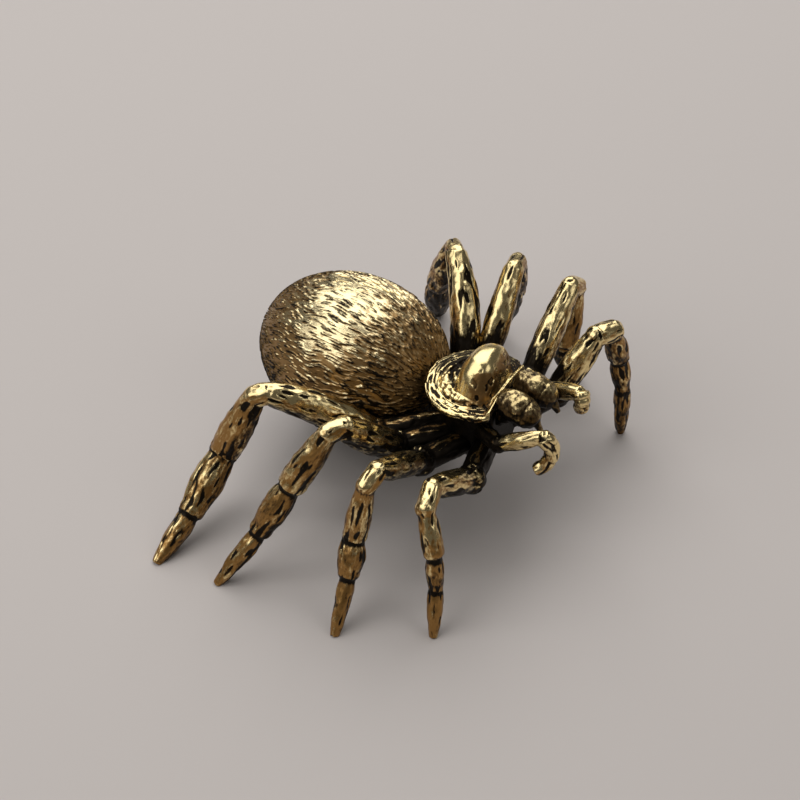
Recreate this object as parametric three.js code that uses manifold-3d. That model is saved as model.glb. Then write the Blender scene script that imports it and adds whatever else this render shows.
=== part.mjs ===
// Brass spider figurine: sixteen small castings, pegged and brazed together, standing on eight feet.
// Millimetres, +Z up, head towards -Y, the spider's left towards +X.
// The origin is on the ground, under the middle of the figurine.

import * as THREE from 'three';
import { mergeVertices } from 'three/addons/utils/BufferGeometryUtils.js';
import Module from 'manifold-3d';

const wasm = await Module();
wasm.setup();

// Joints between castings: a peg on one, a blind socket in the other, and room for the braze.
const SEAT_GAP = 0.25;
const PEG_RADIUS = 0.4;
const PEG_DEPTH = 1.6;

// Thorax: the barrel that every other casting is brazed to. Its axis is upright at x = 0, y = 0.
// Its top is the shield's seat, and heights on the body are measured down or up from there.
const SEAT_HEIGHT = 12.5;
const THORAX_WIDTH = 7.4;
const THORAX_DEPTH = 7.1;
const THORAX_REACH_BACK = 3.1;
const THORAX_REACH_FORWARD = 3.3;
const THORAX_MIDDLE_FORWARD = 0.5;

// Carapace: an oval shield on the thorax, cut straight at the face, with a tall round hump.
// It is tilted up at the head and rolled up on the right, and the hump's front falls straight to the brow.
const SHIELD_TILT = 3;
const SHIELD_ROLL = 4;
const SHIELD_SIDE_OVERHANG = 1.75;
const SHIELD_BACK_OVERHANG = 1.35;
const SHIELD_MIDDLE_FORWARD = 0.3;
const SHIELD_RISE = 1.5;
const SHIELD_LIP = 0.85;
const BROW_RADIUS = 0.3;
const HUMP_WIDTH = 5.8;
const HUMP_LENGTH = 4.6;
const HUMP_HEIGHT = 4.75;
const HUMP_FORWARD = 1.0;
const HUMP_FRONT_SLOPE = 55;
const LID_PEG_RADIUS = 0.8;

// Waist and abdomen: a short stud, and an egg turned about the body's long axis.
const WAIST_DROP = 3.0;
const WAIST_LENGTH = 0.8;
const WAIST_RADIUS = 1.3;
const WAIST_PEG_RADIUS = 0.8;
const ABDOMEN_LENGTH = 19.3;
const ABDOMEN_DIAMETER = 15.3;
const ABDOMEN_FRONT_FULLNESS = 0.02;

// Jaws: two bulbs side by side on the face, each on a root out of the thorax, with a short hooked fang.
const JAW_LENGTH = 4.1;
const JAW_RADIUS = 1.35;
const JAW_TALLNESS = 1.2;
const JAW_SPREAD = 1.5;
const JAW_RISE = 1.3;
const JAW_DROOP = 18;
const JAW_ROOT_RADIUS = 0.9;
const JAW_PEG_DROP = 1.1;
const FANG_LENGTH = 1.2;
const FANG_RADIUS = 0.45;
const FANG_DROOP = 75;

// Palps: short feelers that reach forward from beside the jaws and curl down in rings.
// Places are out from the middle, forward of the face and down from the shield's seat.
const PALP_ROOT = { out: 2.0, ahead: -2.1, drop: 2.6 };
const PALP_KNOB = { out: 4.3, ahead: 1.9, drop: 1.2 };
const PALP_SWEEP = 102;
const PALP_RISE = 30;
const PALP_LENGTH = 4.6;
const PALP_RADIUS = 0.85;
const PALP_CURL_SWEEP = 129;
const PALP_CURL_START = -45;
const PALP_CURL_END = -165;
const PALP_CURL_LENGTH = { left: 2.3, right: 5.0 };
const PALP_RINGS = 5;
const PALP_TIP_RADIUS = 0.65;

// Legs: by pair, from the front pair to the hind pair, the lengths of femur, patella, tibia and metatarsus
// and the radii of femur, patella, tibia, metatarsus and tarsus.
// The socket runs socketDepth into the thorax's side, at a station behind the face.
// The tarsus has no length of its own: it reaches the ground.
const LEG_SOCKET_DROP = 4.3;
const COXA_RADIUS = 1.2;
const COXA_RISE = 4;
const TROCHANTER_RADIUS = 1.45;
const FOOT_SINK = 0.05;
const PAIRS = [
  { socketDepth: 1.6, station: 0.7, lengths: [6.9, 2.1, 4.4, 3.7], radii: [1.25, 0.98, 1.0, 0.88, 0.75] },
  { socketDepth: 1.6, station: 2.2, lengths: [9.7, 1.7, 6.1, 3.7], radii: [1.2, 0.95, 1.15, 1.25, 0.8] },
  { socketDepth: 1.6, station: 3.6, lengths: [9.4, 1.5, 6.6, 5.8], radii: [1.3, 1.0, 1.4, 1.35, 0.9] },
  { socketDepth: 2.4, station: 5.0, lengths: [10.8, 1.4, 7.8, 6.6], radii: [1.4, 1.08, 1.55, 1.6, 1.05] },
];

// Leg poses, from the front leg to the hind leg. The legs were set by hand, so the two sides differ.
// The hip has its reach from the socket and its sweep, forward of straight out, in degrees.
// Every other stretch has its sweep and its slope, up from level.
// A leg's girth makes the femur's radius and the other radii greater or smaller than its pair's,
// and its bow bends the femur forward and up.
const POSES = {
  right: [
    { hip: [5.2, 16], femur: [-4, 32], shin: [53, -59], ankle: [49, -80], foot: [29, -64] },
    { hip: [6.0, -20], femur: [4, 36], shin: [-32, -78], ankle: [17, -60], foot: [11, -54] },
    {
      hip: [6.4, -36], femur: [-12, 46], shin: [-43, -58], ankle: [-33, -56], foot: [-31, -48],
      girth: [1.15, 1], bow: [0, -0.3],
    },
    {
      hip: [7.6, -40], femur: [-55, 29], shin: [-57, -66], ankle: [-2, -35], foot: [-5, -29],
      girth: [1.12, 1], bow: [0, 0.4],
    },
  ],
  left: [
    {
      hip: [5.2, 24], femur: [29, 54], shin: [9, -73], ankle: [94, -78], foot: [55, -88],
      girth: [1.08, 1.12],
    },
    {
      hip: [5.2, 6], femur: [-4, 35], shin: [-8, -109], ankle: [-7, -72], foot: [-12, -52],
      girth: [1.1, 1.1],
    },
    {
      hip: [5.6, -30], femur: [-10, 43], shin: [-34, -66], ankle: [-55, -69], foot: [-56, -46],
      girth: [1, 0.9],
    },
    {
      hip: [5.4, -37], femur: [-37, 36], shin: [-58, -66], ankle: [-34, -64], foot: [-34, -30],
      girth: [1.06, 0.86], bow: [0.7, 0],
    },
  ],
};

// Limb segments, as shares of the greatest radius and of the length:
// the near end's radius, the belly's place and the far end's radius.
const ROD_SHAPE = { near: 0.9, belly: 0.5, far: 0.9 };
const FEMUR_SHAPE = { near: 0.85, belly: 0.45, far: 0.74 };
const PATELLA_SHAPE = { near: 0.9, belly: 0.5, far: 0.9 };
const TIBIA_SHAPE = { near: 0.68, belly: 0.7, far: 0.9 };
const METATARSUS_SHAPE = { near: 0.74, belly: 0.45, far: 0.68 };
const TARSUS_SHAPE = { near: 0.92, belly: 0.25, far: 0.5 };

// Facets
const LEG_SIDES = 9;
const PALP_SIDES = 7;
const JAW_SIDES = 14;
const BODY_SIDES = 32;
const HUMP_SIDES = 24;
const PEG_SIDES = 8;
const ABDOMEN_RINGS = 16;

const vector = (x, y, z) => new THREE.Vector3(x, y, z);
const radians = THREE.MathUtils.degToRad;
const SIDES = { left: 1, right: -1 };

// A closed geometry becomes a solid: shared corners are merged and empty triangles dropped.
function solid(geometry) {
  const plain = geometry.index ? geometry.toNonIndexed() : geometry.clone();
  plain.deleteAttribute('normal');
  plain.deleteAttribute('uv');
  const merged = mergeVertices(plain, 1e-4);
  const corners = merged.index.array;
  const triangles = [];
  for (let i = 0; i < corners.length; i += 3) {
    const [a, b, c] = corners.slice(i, i + 3);
    if (a !== b && b !== c && c !== a) triangles.push(a, b, c);
  }
  return new wasm.Manifold(new wasm.Mesh({
    numProp: 3,
    vertProperties: new Float32Array(merged.attributes.position.array),
    triVerts: new Uint32Array(triangles),
  }));
}

function geometryOf(manifold) {
  const mesh = manifold.getMesh();
  const geometry = new THREE.BufferGeometry();
  geometry.setAttribute('position', new THREE.BufferAttribute(mesh.vertProperties, 3));
  geometry.setIndex(new THREE.BufferAttribute(mesh.triVerts, 1));
  geometry.computeVertexNormals();
  return geometry;
}

const union = (solids) => solids.reduce((whole, next) => whole.add(next));
const cut = (whole, cutters) => cutters.reduce((rest, cutter) => rest.subtract(cutter), whole);

// A turned form: pairs of radius and distance along the axis, from one end on the axis to the other.
function lathe(profile, sides, matrix) {
  const points = profile.map(([radius, along]) => new THREE.Vector2(radius, along));
  return new THREE.LatheGeometry(points, sides).applyMatrix4(matrix);
}

const turned = (profile, sides, matrix) => solid(lathe(profile, sides, matrix));

// The matrix that lays a turned form's axis from one point towards another.
function alongLine(start, end) {
  const direction = end.clone().sub(start).normalize();
  const turn = new THREE.Quaternion().setFromUnitVectors(vector(0, 1, 0), direction);
  return new THREE.Matrix4().compose(start, turn, vector(1, 1, 1));
}

const step = (from, direction, length) => from.clone().addScaledVector(direction, length);

function peg(start, end, radius) {
  const length = start.distanceTo(end);
  return turned([[0, 0], [radius, 0], [radius, length], [0, length]], PEG_SIDES, alongLine(start, end));
}

// A socket is its peg grown by the seat gap, all round and at its blind end.
function socket(start, end, radius) {
  const way = end.clone().sub(start).normalize();
  return peg(step(start, way, -SEAT_GAP), step(end, way, SEAT_GAP), radius + SEAT_GAP);
}

// A bowed form leaves its straight axis by the bow, which is full halfway along.
function bowed(geometry, start, end, bow) {
  const axis = end.clone().sub(start);
  const places = geometry.attributes.position;
  for (let i = 0; i < places.count; i += 1) {
    const place = vector(0, 0, 0).fromBufferAttribute(places, i);
    const share = place.clone().sub(start).dot(axis) / axis.lengthSq();
    place.addScaledVector(bow, 4 * share * (1 - share));
    places.setXYZ(i, place.x, place.y, place.z);
  }
  return geometry;
}

// One limb segment: it swells from its neck to its belly and draws in again to a rounded end.
function bead(start, end, radius, { near, belly, far }, sides = LEG_SIDES, bow = vector(0, 0, 0)) {
  const length = start.distanceTo(end);
  const straight = lathe([
    [0, -0.3 * near * radius],
    [near * radius, 0.05 * length],
    [0.5 * (near + 1) * radius, 0.45 * belly * length],
    [radius, belly * length],
    [0.51 * (1 + far) * radius, 0.5 * (belly + 1) * length],
    [far * radius, 0.97 * length],
    [0, length + 0.25 * far * radius],
  ], sides, alongLine(start, end));
  return solid(bowed(straight, start, end, bow));
}

function ball(centre, radius, sides = LEG_SIDES) {
  const sphere = new THREE.SphereGeometry(radius, sides, Math.ceil(sides / 2));
  return solid(sphere.translate(centre.x, centre.y, centre.z));
}

// A block that takes away everything on the far side of a plane.
const HALF_SPACE = 80;
function beyond(point, normal) {
  const block = new THREE.BoxGeometry(HALF_SPACE, HALF_SPACE, HALF_SPACE).translate(0, HALF_SPACE / 2, 0);
  return solid(block.applyMatrix4(alongLine(point, point.clone().add(normal))));
}

// A direction from a sweep and a slope in degrees, on the left (+1) or the right (-1).
function heading(side, sweep, slope) {
  const level = Math.cos(radians(slope));
  const out = side * level * Math.cos(radians(sweep));
  const forward = level * Math.sin(radians(sweep));
  return vector(out, -forward, Math.sin(radians(slope)));
}

// The face is the flat plane that the jaws are brazed to, and the ground is where the feet are filed flat.
const faceY = -THORAX_REACH_FORWARD;
const face = beyond(vector(0, faceY, 0), vector(0, -1, 0));
const ground = beyond(vector(0, 0, 0), vector(0, 0, -1));

// The shield's seat is a plane tilted up at the head and on the right.
const upright = new THREE.Matrix4().makeRotationX(Math.PI / 2);
const shieldTurn = new THREE.Matrix4().makeRotationX(-radians(SHIELD_TILT))
  .multiply(new THREE.Matrix4().makeRotationY(radians(SHIELD_ROLL)));
const shieldSeat = vector(0, 0, SEAT_HEIGHT);
const seatNormal = vector(0, 0, 1).applyMatrix4(shieldTurn);
const shieldMatrix = new THREE.Matrix4().makeTranslation(shieldSeat).multiply(shieldTurn);
const aboveSeat = beyond(step(shieldSeat, seatNormal, -SEAT_GAP), seatNormal);

const waistHeight = SEAT_HEIGHT - WAIST_DROP;
const socketHeight = SEAT_HEIGHT - LEG_SOCKET_DROP;

// Thorax: an oval barrel with a rounded floor, widest from the leg sockets to the waist.
function thoraxBarrel(grown) {
  const radius = THORAX_WIDTH / 2 + grown;
  const floor = SEAT_HEIGHT - THORAX_DEPTH - grown;
  const top = SEAT_HEIGHT + SHIELD_RISE;
  const halfLength = THORAX_REACH_BACK + THORAX_MIDDLE_FORWARD + grown;
  const oval = new THREE.Matrix4().makeTranslation(0, -THORAX_MIDDLE_FORWARD, 0)
    .multiply(new THREE.Matrix4().makeScale(1, halfLength / radius, 1))
    .multiply(upright);
  return turned([
    [0, floor],
    [0.5 * radius, floor + 0.02 * THORAX_DEPTH],
    [0.85 * radius, floor + 0.14 * THORAX_DEPTH],
    [radius, socketHeight - PEG_RADIUS],
    [radius, waistHeight],
    [0.92 * radius, SEAT_HEIGHT],
    [0.88 * radius, top],
    [0, top],
  ], BODY_SIDES, oval);
}
const thoraxGrown = thoraxBarrel(SEAT_GAP);

// Carapace: a stepped brim, the hump over its front and a raised brow along the face.
const shieldHalfWidth = THORAX_WIDTH / 2 + SHIELD_SIDE_OVERHANG;
const shieldHalfLength = THORAX_REACH_BACK + SHIELD_BACK_OVERHANG + SHIELD_MIDDLE_FORWARD;

const onShield = (forward, width, length) => shieldMatrix.clone()
  .multiply(new THREE.Matrix4().makeTranslation(0, -forward, 0))
  .multiply(new THREE.Matrix4().makeScale(width, length, 1))
  .multiply(upright);

function carapace() {
  const brim = turned([
    [0, 0],
    [0.93, 0],
    [0.97, 0.3 * SHIELD_LIP],
    [1, 0.8 * SHIELD_LIP],
    [0.96, SHIELD_LIP],
    [0.86, 0.72 * SHIELD_LIP],
    [0.78, SHIELD_LIP],
    [0.73, 0.86 * SHIELD_LIP],
    [0.62, 0.5 * (SHIELD_LIP + SHIELD_RISE)],
    [0.57, 0.45 * (SHIELD_LIP + SHIELD_RISE)],
    [0.4, SHIELD_RISE],
    [0, SHIELD_RISE],
  ], BODY_SIDES, onShield(SHIELD_MIDDLE_FORWARD, shieldHalfWidth, shieldHalfLength));
  const hump = turned([
    [0, 0.3 * SHIELD_LIP],
    [1, 0.3 * SHIELD_LIP],
    [1, 0.28 * HUMP_HEIGHT],
    [0.94, 0.52 * HUMP_HEIGHT],
    [0.78, 0.76 * HUMP_HEIGHT],
    [0.48, 0.93 * HUMP_HEIGHT],
    [0, HUMP_HEIGHT],
  ], HUMP_SIDES, onShield(HUMP_FORWARD, HUMP_WIDTH / 2, HUMP_LENGTH / 2));
  const cornerShare = (THORAX_REACH_FORWARD - SHIELD_MIDDLE_FORWARD) / shieldHalfLength;
  const corner = shieldHalfWidth * Math.sqrt(1 - cornerShare ** 2);
  const browPoint = (across) => vector(across, faceY, SHIELD_LIP).applyMatrix4(shieldMatrix);
  const brow = bead(browPoint(-corner), browPoint(corner), BROW_RADIUS, ROD_SHAPE);
  const slope = radians(HUMP_FRONT_SLOPE);
  const front = beyond(browPoint(0), vector(0, -Math.sin(slope), Math.cos(slope)));
  const pegStart = step(shieldSeat, seatNormal, -PEG_DEPTH);
  const pegEnd = step(shieldSeat, seatNormal, SHIELD_LIP / 2);
  const shell = union([brim, cut(hump, [front]), brow]);
  const piece = cut(shell, [face]).add(peg(pegStart, pegEnd, LID_PEG_RADIUS));
  return { piece, socket: socket(pegStart, pegEnd, LID_PEG_RADIUS) };
}

// The room that the shield takes over the front of the abdomen.
function shieldRoom() {
  const matrix = onShield(SHIELD_MIDDLE_FORWARD, shieldHalfWidth + SEAT_GAP, shieldHalfLength + SEAT_GAP);
  const top = SHIELD_RISE + SEAT_GAP;
  return turned([[0, -SEAT_GAP], [1, -SEAT_GAP], [1, top], [0, top]], BODY_SIDES, matrix);
}

// Waist stud: a collar between thorax and abdomen, with a peg into each.
const abdomenFront = THORAX_REACH_BACK + WAIST_LENGTH;

function waist() {
  const onAxis = (y) => vector(0, y, waistHeight);
  const pegStart = onAxis(THORAX_REACH_BACK - PEG_DEPTH);
  const pegEnd = onAxis(abdomenFront + PEG_DEPTH);
  const collar = peg(onAxis(THORAX_REACH_BACK + SEAT_GAP), onAxis(abdomenFront - SEAT_GAP), WAIST_RADIUS);
  const piece = collar.add(peg(pegStart, pegEnd, WAIST_PEG_RADIUS));
  return { piece, socket: socket(pegStart, pegEnd, WAIST_PEG_RADIUS) };
}

// Abdomen: an egg, a little fuller in front, filed away where the shield or a hind leg would touch it.
function abdomen(reliefs) {
  const profile = [];
  for (let ring = 0; ring <= ABDOMEN_RINGS; ring += 1) {
    const angle = Math.PI * ring / ABDOMEN_RINGS;
    const fullness = 1 + ABDOMEN_FRONT_FULLNESS * Math.cos(angle);
    const pole = ring === 0 || ring === ABDOMEN_RINGS;
    const radius = pole ? 0 : ABDOMEN_DIAMETER / 2 * Math.sin(angle) * fullness;
    profile.push([radius, ABDOMEN_LENGTH / 2 * (1 - Math.cos(angle))]);
  }
  const front = vector(0, abdomenFront, waistHeight);
  const egg = turned(profile, BODY_SIDES, alongLine(front, step(front, vector(0, 1, 0), ABDOMEN_LENGTH)));
  return cut(egg, reliefs);
}

// Jaws: each bulb has a flat back against the face and a flat cheek against its fellow.
const jawBack = beyond(vector(0, faceY - SEAT_GAP, 0), vector(0, 1, 0));
const jawBase = (side) => vector(side * JAW_SPREAD, faceY, SEAT_HEIGHT + JAW_RISE);
const jawTip = (side) => step(jawBase(side), heading(side, 90, -JAW_DROOP), JAW_LENGTH);

function jawBulb(side, grown) {
  const radius = JAW_RADIUS + grown;
  return turned([
    [0, -0.3 * radius],
    [0.75 * radius, -0.2 * radius],
    [0.95 * radius, 0.2 * JAW_LENGTH],
    [radius, 0.45 * JAW_LENGTH],
    [0.85 * radius, 0.75 * JAW_LENGTH],
    [0.5 * radius, 0.95 * JAW_LENGTH],
    [0, 1.02 * JAW_LENGTH + grown],
  ], JAW_SIDES, alongLine(jawBase(side), jawTip(side)).scale(vector(1, 1, JAW_TALLNESS)));
}

function jaw(side) {
  const fangStart = step(jawTip(side), heading(side, 90, 0), -FANG_RADIUS);
  const fangTip = step(jawTip(side), heading(side, 90, -FANG_DROOP), FANG_LENGTH);
  const fang = bead(fangStart, fangTip, FANG_RADIUS, TARSUS_SHAPE, PALP_SIDES);
  const cheek = beyond(vector(side * SEAT_GAP / 2, 0, 0), vector(-side, 0, 0));
  const pegHeight = SEAT_HEIGHT - JAW_PEG_DROP;
  const pegStart = vector(side * JAW_SPREAD, faceY + PEG_DEPTH, pegHeight);
  const pegEnd = vector(side * JAW_SPREAD, faceY - JAW_RADIUS, pegHeight);
  const middle = jawBase(side).lerp(jawTip(side), 0.4);
  const root = bead(vector(side * JAW_SPREAD, faceY, pegHeight), middle, JAW_ROOT_RADIUS, ROD_SHAPE, PALP_SIDES);
  const whole = union([jawBulb(side, 0), root, fang]);
  const piece = cut(whole, [jawBack, cheek]).add(peg(pegStart, pegEnd, PEG_RADIUS));
  return { piece, socket: socket(pegStart, pegEnd, PEG_RADIUS) };
}

// Palps: a root out of the thorax with a knob, a straight stretch and the rings of the curl.
const palpPlace = (side, { out, ahead, drop }) => vector(side * out, faceY - ahead, SEAT_HEIGHT - drop);

function palpRoot(side, grown) {
  const knob = palpPlace(side, PALP_KNOB);
  const radius = PALP_RADIUS + grown;
  const root = bead(palpPlace(side, PALP_ROOT), knob, radius, ROD_SHAPE, PALP_SIDES);
  return root.add(ball(knob, radius, PALP_SIDES));
}

function palp(side, curlLength) {
  const root = palpPlace(side, PALP_ROOT);
  const knob = palpPlace(side, PALP_KNOB);
  let from = step(knob, heading(side, PALP_SWEEP, PALP_RISE), PALP_LENGTH);
  const solids = [palpRoot(side, 0), bead(knob, from, PALP_RADIUS, FEMUR_SHAPE, PALP_SIDES)];
  for (let ring = 0; ring < PALP_RINGS; ring += 1) {
    const share = ring / (PALP_RINGS - 1);
    const slope = THREE.MathUtils.lerp(PALP_CURL_START, PALP_CURL_END, share);
    const radius = THREE.MathUtils.lerp(PALP_RADIUS, PALP_TIP_RADIUS, share);
    const to = step(from, heading(side, PALP_CURL_SWEEP, slope), curlLength / PALP_RINGS);
    solids.push(bead(from, to, radius, PATELLA_SHAPE, PALP_SIDES));
    from = to;
  }
  const limb = cut(union(solids), [thoraxGrown, jawBulb(side, SEAT_GAP)]);
  return { piece: limb.add(peg(root, knob, PEG_RADIUS)), socket: socket(root, knob, PEG_RADIUS) };
}

// Legs: the joints from the socket to the foot, which ends just under the ground and is filed flat there.
// The radii and the femur's bow are the leg's own.
function legPlan(side, pair, { hip, femur, shin, ankle, foot, girth = [1, 1], bow = [0, 0] }) {
  const [femurLength, patellaLength, tibiaLength, metatarsusLength] = pair.lengths;
  const femurWay = heading(side, ...femur);
  const shinWay = heading(side, ...shin);
  const footWay = heading(side, ...foot);
  const socketOut = THORAX_WIDTH / 2 - pair.socketDepth;
  const rootPlace = vector(side * socketOut, faceY + pair.station, socketHeight);
  const hipPlace = step(rootPlace, heading(side, hip[1], COXA_RISE), hip[0]);
  const knee = step(hipPlace, femurWay, femurLength);
  const shinTop = step(knee, femurWay.clone().add(shinWay).normalize(), patellaLength);
  const anklePlace = step(shinTop, shinWay, tibiaLength);
  const wrist = step(anklePlace, heading(side, ...ankle), metatarsusLength);
  const toe = step(wrist, footWay, (-FOOT_SINK - wrist.z) / footWay.z);
  return {
    joints: [rootPlace, hipPlace, knee, shinTop, anklePlace, wrist, toe],
    radii: pair.radii.map((radius, segment) => radius * (segment === 0 ? girth[0] : girth[1])),
    bow: vector(0, -bow[0], bow[1]),
  };
}

// The thigh is the coxa out of the thorax, the trochanter knob at its end and the femur up to the knee.
function thigh({ joints: [root, hip, knee], radii, bow }, grown) {
  return union([
    bead(root, hip, COXA_RADIUS + grown, ROD_SHAPE),
    ball(hip, TROCHANTER_RADIUS + grown),
    bead(hip, knee, radii[0] + grown, FEMUR_SHAPE, LEG_SIDES, bow),
  ]);
}

function leg(plan, neighbours) {
  const [root, hip, knee, shinTop, ankle, wrist, toe] = plan.joints;
  const [, patella, tibia, metatarsus, tarsus] = plan.radii;
  const limb = union([
    thigh(plan, 0),
    bead(knee, shinTop, patella, PATELLA_SHAPE),
    bead(shinTop, ankle, tibia, TIBIA_SHAPE),
    bead(ankle, wrist, metatarsus, METATARSUS_SHAPE),
    bead(wrist, toe, tarsus, TARSUS_SHAPE),
  ]);
  const piece = cut(limb, [thoraxGrown, ground, ...neighbours]).add(peg(root, hip, PEG_RADIUS));
  return { piece, socket: socket(root, hip, PEG_RADIUS) };
}

// Assembly: on each side the jaw, the palp and the legs from front to back, each clear of the one before.
const BRASS = { color: 0xb08a3c, roughness: 0.32, metalness: 1.0 };
const DARK_BRASS = { color: 0x4a3a1c, roughness: 0.45, metalness: 1.0 };
const castings = new THREE.Group();

function addCasting(name, manifold, look) {
  const mesh = new THREE.Mesh(geometryOf(manifold), new THREE.MeshStandardMaterial(look));
  mesh.name = name;
  castings.add(mesh);
}

const shield = carapace();
const stud = waist();
const sockets = [shield.socket, stud.socket];
const abdomenReliefs = [stud.socket, shieldRoom()];

for (const [sideName, side] of Object.entries(SIDES)) {
  const sideJaw = jaw(side);
  const sidePalp = palp(side, PALP_CURL_LENGTH[sideName]);
  addCasting(`${sideName}_jaw`, sideJaw.piece, DARK_BRASS);
  addCasting(`${sideName}_palp`, sidePalp.piece, BRASS);
  sockets.push(sideJaw.socket, sidePalp.socket);
  let neighbours = [palpRoot(side, SEAT_GAP)];
  PAIRS.forEach((pair, index) => {
    const plan = legPlan(side, pair, POSES[sideName][index]);
    const sideLeg = leg(plan, neighbours);
    addCasting(`${sideName}_leg_${index + 1}`, sideLeg.piece, BRASS);
    sockets.push(sideLeg.socket);
    neighbours = [thigh(plan, SEAT_GAP)];
  });
  abdomenReliefs.push(...neighbours);
}

addCasting('thorax', cut(thoraxBarrel(0), [face, aboveSeat, ...sockets]), DARK_BRASS);
addCasting('carapace', shield.piece, BRASS);
addCasting('waist_stud', stud.piece, DARK_BRASS);
addCasting('abdomen', abdomen(abdomenReliefs), BRASS);

// The figurine stands with the middle of its box over the origin.
const box = new THREE.Box3().setFromObject(castings);
const middle = box.getCenter(vector(0, 0, 0));
castings.position.set(-middle.x, -middle.y, -box.min.z);

const spider = new THREE.Group();
spider.add(castings);

export default spider;
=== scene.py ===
import bpy
import numpy as np
from mathutils import Matrix, Vector, noise


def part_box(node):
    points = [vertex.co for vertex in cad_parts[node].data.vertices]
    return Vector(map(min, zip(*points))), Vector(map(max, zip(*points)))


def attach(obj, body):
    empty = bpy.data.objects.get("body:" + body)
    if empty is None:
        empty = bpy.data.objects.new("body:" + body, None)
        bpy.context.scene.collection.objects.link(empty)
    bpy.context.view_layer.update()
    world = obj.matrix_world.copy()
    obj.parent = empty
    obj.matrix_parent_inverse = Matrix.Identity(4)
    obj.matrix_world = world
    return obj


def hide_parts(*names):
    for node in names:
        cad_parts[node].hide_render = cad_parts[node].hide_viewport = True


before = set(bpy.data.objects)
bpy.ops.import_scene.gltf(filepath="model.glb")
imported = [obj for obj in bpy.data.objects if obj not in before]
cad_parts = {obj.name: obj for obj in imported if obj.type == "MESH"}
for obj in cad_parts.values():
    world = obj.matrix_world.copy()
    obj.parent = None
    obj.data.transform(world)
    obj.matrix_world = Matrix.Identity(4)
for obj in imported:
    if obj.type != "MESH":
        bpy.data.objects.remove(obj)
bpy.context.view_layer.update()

# Thorax: the barrel in the middle that every other casting is pegged and brazed to.
# It is solid cast brass, left rough and black with patina and painted shade underneath, and the shield hides
# most of it.
# All lengths are in millimetres, from the ground under the thorax's upright axis, head towards -Y.
MM = 0.001
SEAT_GAP = 0.25
SEAT_HEIGHT = 12.5
THORAX_WIDTH = 7.4
THORAX_DEPTH = 7.1
THORAX_REACH_BACK = 3.1
THORAX_REACH_FORWARD = 3.3
THORAX_MIDDLE_FORWARD = 0.5
THORAX_FLOOR_SHARE = 0.45
THORAX_UNEVENNESS = 0.1
SHIELD_TILT = 3
SHIELD_ROLL = 6.5
FACE_Y = -THORAX_REACH_FORWARD
SEED_SHIFT = 17.3

thorax_low, thorax_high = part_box("thorax")
thorax_axis = np.array([
    (thorax_low.x + thorax_high.x) / 2,
    thorax_high.y - THORAX_REACH_BACK * MM,
    0,
])


def unit(way):
    """The same direction, one unit long."""
    return way / np.linalg.norm(way)


def level_across(way):
    """A level direction at right angles to the way."""
    return unit(np.cross(way, [0, 0, 1]) + np.array([1e-6, 0, 0]))


def smooth_step(low, high, value):
    """Rises smoothly from 0 to 1 as the value goes from low to high."""
    share = np.clip((value - low) / (high - low), 0, 1)
    return share * share * (3 - 2 * share)


def turned(radii, stations, start, end, sides=36, section=1.0, bow=(0, 0, 0)):
    """A closed form turned about the line from start to end, or about its bow, as points and faces."""
    way = unit(end - start)
    across = level_across(way)
    over = np.cross(across, way)
    stations = np.asarray(stations, float)
    share = stations / np.linalg.norm(end - start)
    middles = start + np.outer(stations, way) + np.outer(4 * share * (1 - share), bow)
    angle = np.linspace(0, 2 * np.pi, sides, endpoint=False)
    rim = np.outer(np.cos(angle), across) + np.outer(np.sin(angle), over)
    reach = np.asarray(radii)[1:-1, None] * section * np.ones(sides)
    rings = middles[1:-1, None, :] + reach[:, :, None] * rim
    points = np.vstack([middles[0], rings.reshape(-1, 3), middles[-1]])
    last = len(points) - 1
    faces = []
    for here in range(sides):
        beside = (here + 1) % sides
        faces.append((0, 1 + beside, 1 + here))
        for ring in range(len(radii) - 3):
            low, high = 1 + ring * sides, 1 + (ring + 1) * sides
            faces.append((low + here, low + beside, high + beside, high + here))
        faces.append((last - sides + here, last - sides + beside, last))
    return points, faces


def new_object(name, forms):
    """One object from several forms."""
    points, faces = [], []
    for form_points, form_faces in forms:
        first = sum(len(group) for group in points)
        points.append(form_points)
        faces += [tuple(first + corner for corner in face) for face in form_faces]
    mesh = bpy.data.meshes.new(name)
    mesh.from_pydata(np.vstack(points).tolist(), [], faces)
    piece = bpy.data.objects.new(name, mesh)
    bpy.context.scene.collection.objects.link(piece)
    return piece


def cast(name, forms, fineness, rooms=(), rounds=2):
    """The forms flow together into one casting, less the rooms that its neighbours need."""
    rough = new_object(name + "_rough", forms)
    tools = [new_object(name + "_room", [room]) for room in rooms]

    def flow():
        remesh = rough.modifiers.new("flow", "REMESH")
        remesh.mode = "VOXEL"
        remesh.voxel_size = fineness

    flow()
    for tool in tools:
        trim = rough.modifiers.new("trim", "BOOLEAN")
        trim.operation = "DIFFERENCE"
        trim.solver = "MANIFOLD"
        trim.object = tool
    if tools:
        flow()
    ease = rough.modifiers.new("ease", "SMOOTH")
    ease.factor = 0.5
    ease.iterations = rounds
    graph = bpy.context.evaluated_depsgraph_get()
    mesh = bpy.data.meshes.new_from_object(rough.evaluated_get(graph))
    for used in [rough, *tools]:
        bpy.data.objects.remove(used)
    piece = bpy.data.objects.new(name, mesh)
    bpy.context.scene.collection.objects.link(piece)
    return piece


def read(layer, field, width):
    """One row of numbers for each point or edge of a mesh."""
    values = np.empty(len(layer) * width, dtype=np.int32 if field == "vertices" else np.float32)
    layer.foreach_get(field, values)
    return values.reshape(-1, width)


def points_of(piece):
    """The places of the piece's points."""
    return read(piece.data.vertices, "co", 3).astype(float)


def normals_of(piece):
    """The way out of the piece's skin at each point."""
    return read(piece.data.vertex_normals, "vector", 3).astype(float)


def move_to(piece, points):
    """Gives the piece's points new places."""
    piece.data.vertices.foreach_set("co", points.astype(np.float32).ravel())
    piece.data.update()


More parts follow.
